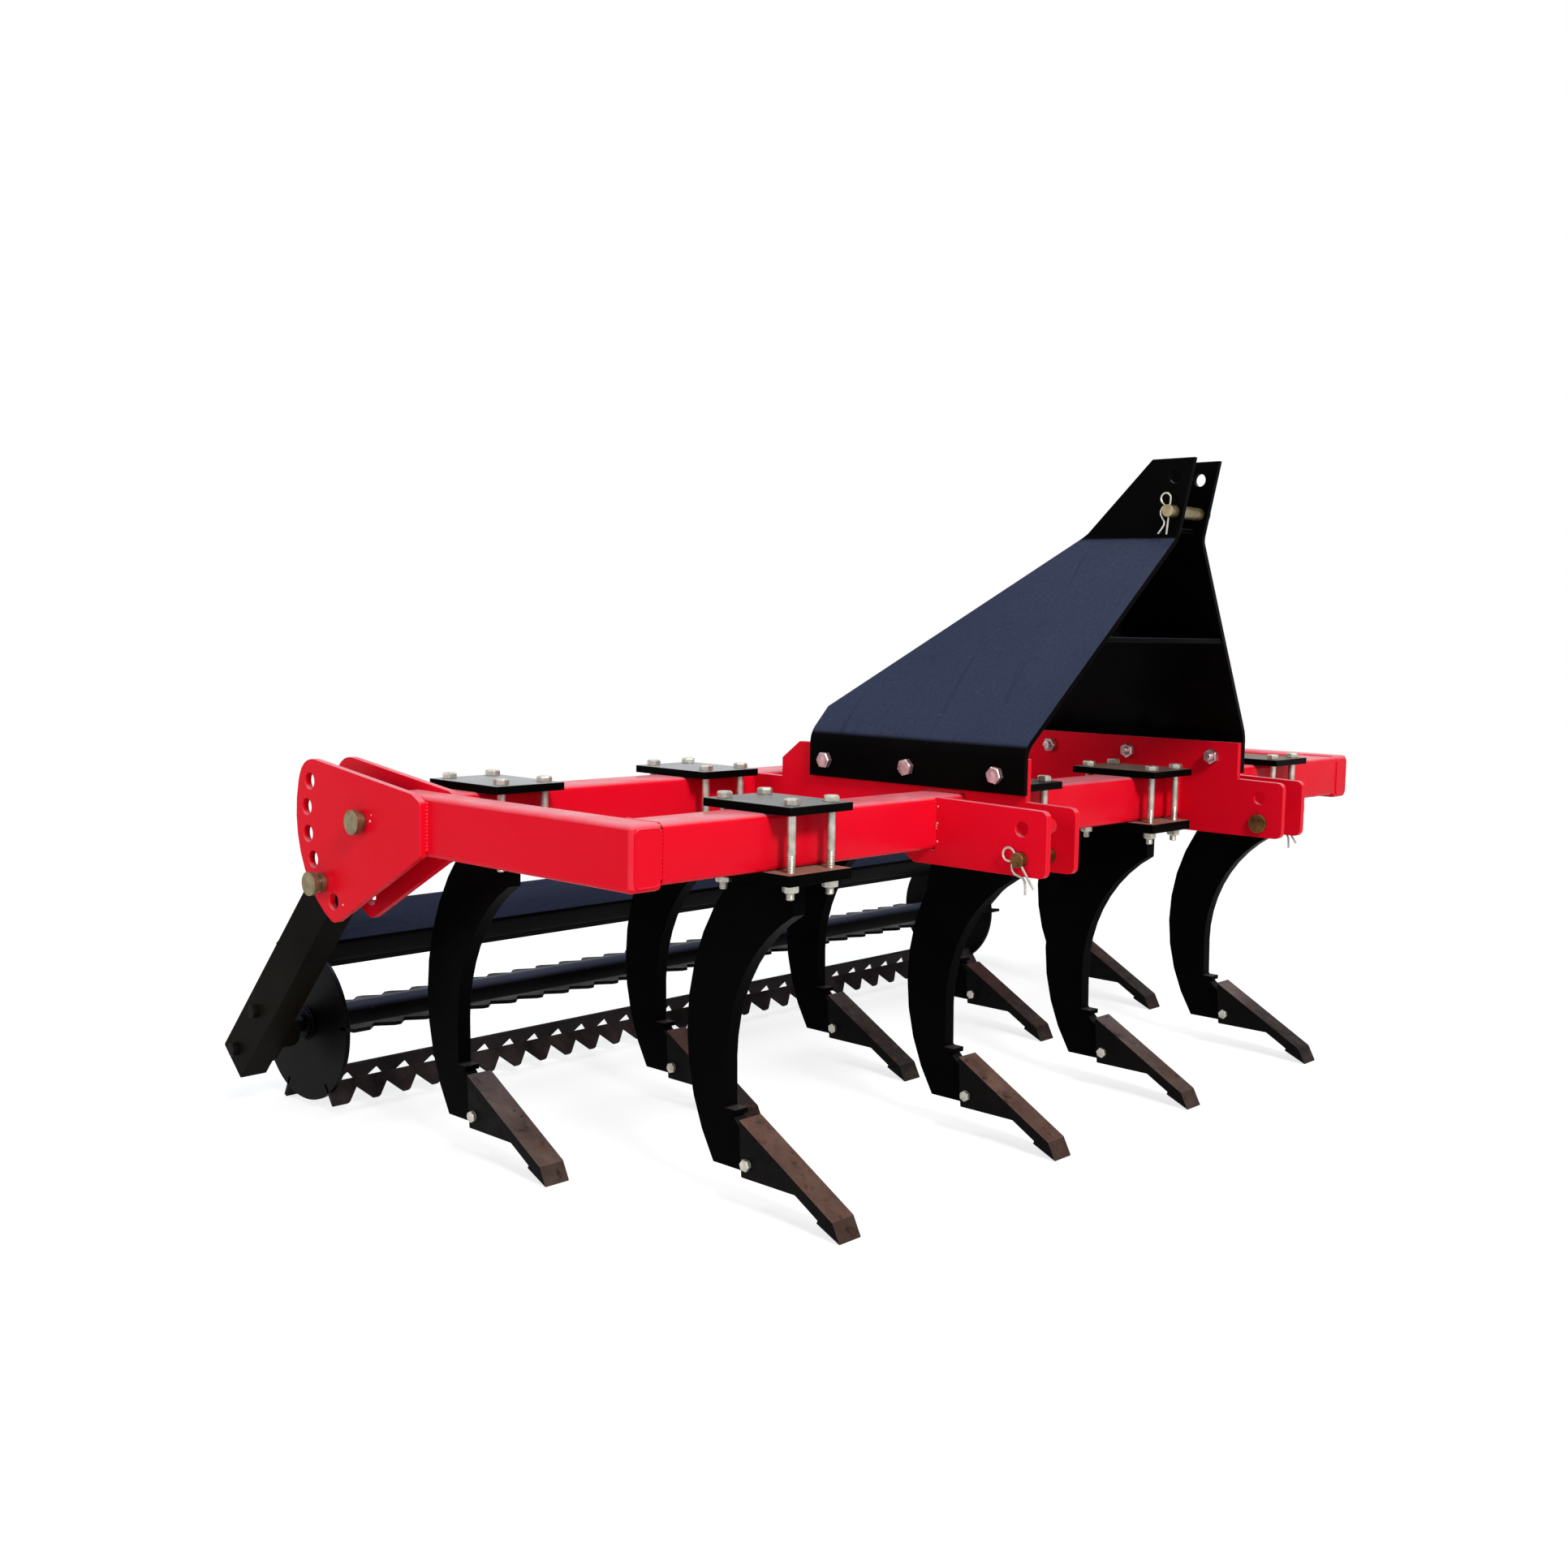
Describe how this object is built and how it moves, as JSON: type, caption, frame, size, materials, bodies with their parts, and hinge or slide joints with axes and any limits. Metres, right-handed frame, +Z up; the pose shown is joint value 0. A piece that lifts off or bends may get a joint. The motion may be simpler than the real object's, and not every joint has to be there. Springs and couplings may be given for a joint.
{
  "type": "subsoiler",
  "caption": "Three-point mounted subsoiler: red tool frame, curved black shanks with chisel points, folded-plate hitch tower and a trailing toothed cage roller on pinned arms.",
  "frame": {"origin": "on the ground, at the centre of the bounding box's base", "axes": "+Z up, +X to the machine's left across the tool frame, -Y toward the tractor (the way the machine drives)"},
  "size_m": [2.6274, 1.6732, 1.391],
  "materials": {
    "red_paint": "satin",
    "black_paint": "satin",
    "bare_steel": "bare, lightly rusted",
    "zinc": "yellow zinc plated"
  },
  "bodies": {
    "implement": {"front_beam": "red_paint", "rear_beam": "red_paint", "side_beam_left": "red_paint", "side_beam_right": "red_paint", "hitch_plate_left": "red_paint", "hitch_plate_right": "red_paint", "outer_lug_left": "red_paint", "outer_lug_right": "red_paint", "sector_outer_left": "red_paint", "sector_outer_right": "red_paint", "sector_inner_left": "red_paint", "sector_inner_right": "red_paint", "hitch_pin_left": "zinc", "hitch_pin_right": "zinc", "top_pin": "zinc", "pivot_pin_left": "zinc", "pivot_pin_right": "zinc", "lock_pin_left": "zinc", "lock_pin_right": "zinc", "tower_plate_left": "black_paint", "tower_plate_right": "black_paint", "tower_brace": "black_paint", "ear_web": "black_paint", "clamp_front_1": "black_paint", "clamp_front_2": "black_paint", "clamp_front_3": "black_paint", "clamp_front_4": "black_paint", "clamp_rear_1": "black_paint", "clamp_rear_2": "black_paint", "clamp_rear_3": "black_paint", "clamp_rear_4": "black_paint", "clamp_rear_5": "black_paint", "shank_front_1": "black_paint", "shank_front_2": "black_paint", "shank_front_3": "black_paint", "shank_front_4": "black_paint", "shank_rear_1": "black_paint", "shank_rear_2": "black_paint", "shank_rear_3": "black_paint", "shank_rear_4": "black_paint", "shank_rear_5": "black_paint", "point_front_1": "bare_steel", "point_front_2": "bare_steel", "point_front_3": "bare_steel", "point_front_4": "bare_steel", "point_rear_1": "bare_steel", "point_rear_2": "bare_steel", "point_rear_3": "bare_steel", "point_rear_4": "bare_steel", "point_rear_5": "bare_steel"},
    "roller_frame": {"roller_arm_left": "black_paint", "roller_arm_right": "black_paint", "roller_cross_tube": "black_paint", "roller_bearing_left": "black_paint", "roller_bearing_right": "black_paint"},
    "roller": {"roller": "black_paint"}
  },
  "joints": [
    {"name": "arm_pivot", "type": "hinge", "parent": "implement", "child": "roller_frame", "pos_m": [0, 0.17539, 0.67], "axis": [1, 0, 0], "range_deg": [-16, 64]},
    {"name": "roller_spin", "type": "hinge", "parent": "roller_frame", "child": "roller", "pos_m": [0, 0.641, 0.17933], "axis": [1, 0, 0], "continuous": true}
  ]
}
